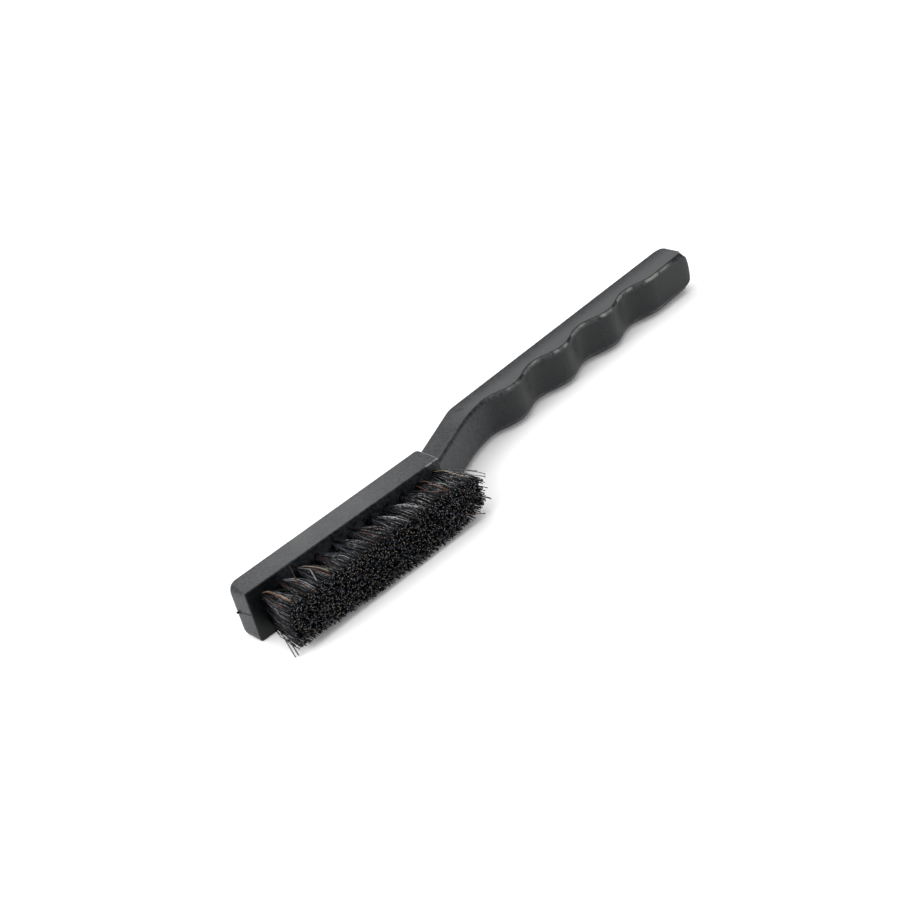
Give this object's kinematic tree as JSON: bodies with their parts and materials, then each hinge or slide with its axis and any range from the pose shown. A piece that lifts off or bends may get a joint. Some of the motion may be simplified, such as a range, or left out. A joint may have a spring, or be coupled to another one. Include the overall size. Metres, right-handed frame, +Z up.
{
  "type": "anti-static brush",
  "caption": "Long-handled hand brush with finger grooves, a bent neck and a narrow head set with rows of stiff dark bristle tufts, for brushing electronic boards.",
  "frame": {"origin": "centre of the head's flat lower side face, on which the brush lies", "axes": "+X along the head from its front end towards the handle, -Y the way the bristles point, +Z up, across the width of the brush"},
  "size_m": [0.2075, 0.042, 0.0168],
  "materials": {
    "conductive_plastic": "matte black moulded plastic with a fine grain",
    "conductive_hair": "near-black stiff bristle, with some brown and grey strands"
  },
  "bodies": {
    "root": {"moulded_body": "conductive_plastic", "tuft_r1_c01": "conductive_hair", "tuft_r1_c02": "conductive_hair", "tuft_r1_c03": "conductive_hair", "tuft_r1_c04": "conductive_hair", "tuft_r1_c05": "conductive_hair", "tuft_r1_c06": "conductive_hair", "tuft_r1_c07": "conductive_hair", "tuft_r1_c08": "conductive_hair", "tuft_r1_c09": "conductive_hair", "tuft_r1_c10": "conductive_hair", "tuft_r1_c11": "conductive_hair", "tuft_r2_c01": "conductive_hair", "tuft_r2_c02": "conductive_hair", "tuft_r2_c03": "conductive_hair", "tuft_r2_c04": "conductive_hair", "tuft_r2_c05": "conductive_hair", "tuft_r2_c06": "conductive_hair", "tuft_r2_c07": "conductive_hair", "tuft_r2_c08": "conductive_hair", "tuft_r2_c09": "conductive_hair", "tuft_r2_c10": "conductive_hair", "tuft_r2_c11": "conductive_hair", "tuft_r3_c01": "conductive_hair", "tuft_r3_c02": "conductive_hair", "tuft_r3_c03": "conductive_hair", "tuft_r3_c04": "conductive_hair", "tuft_r3_c05": "conductive_hair", "tuft_r3_c06": "conductive_hair", "tuft_r3_c07": "conductive_hair", "tuft_r3_c08": "conductive_hair", "tuft_r3_c09": "conductive_hair", "tuft_r3_c10": "conductive_hair", "tuft_r3_c11": "conductive_hair"}
  },
  "joints": []
}
